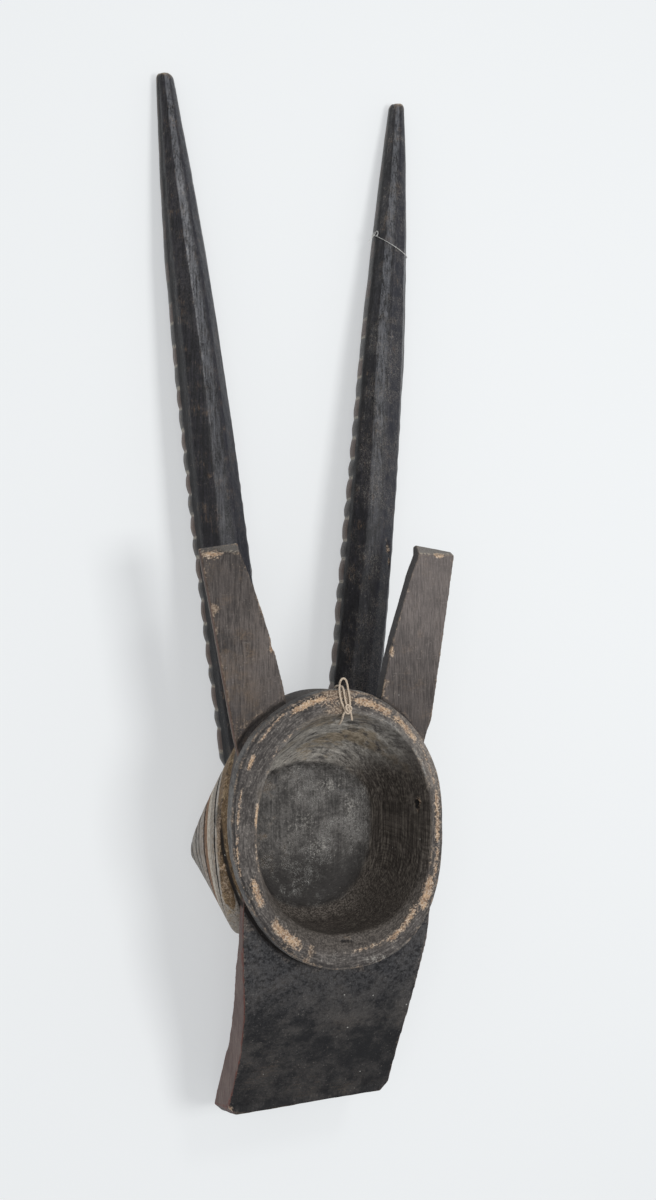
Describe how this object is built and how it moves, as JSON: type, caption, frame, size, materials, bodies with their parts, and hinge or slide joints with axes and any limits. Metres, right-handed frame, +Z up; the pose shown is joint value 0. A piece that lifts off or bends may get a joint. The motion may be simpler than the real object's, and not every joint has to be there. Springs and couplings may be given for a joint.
{
  "type": "antelope mask",
  "caption": "Carved wooden antelope mask with long ribbed horns, plank ears, ringed eye bosses, a hollow back and a cotton hanging cord.",
  "frame": {"origin": "on the surface it lies on, under the middle of the carving's bounding box", "axes": "+Y from the snout to the horn tips, +Z up out of the hollow back, +X to the right as seen from behind the mask"},
  "size_m": [0.2918, 1.1326, 0.199],
  "materials": {
    "wood": "dark stained and worn, satin on the horns, matt on the face",
    "cotton": "twisted cotton, matt",
    "thread": "thin pale thread, matt"
  },
  "bodies": {
    "root": {"mask": "wood", "horn_thread": "thread", "cord_from_hole": "cotton", "cord_loop": "cotton", "cord_over_rim": "cotton", "cord_knot": "cotton"}
  },
  "joints": []
}
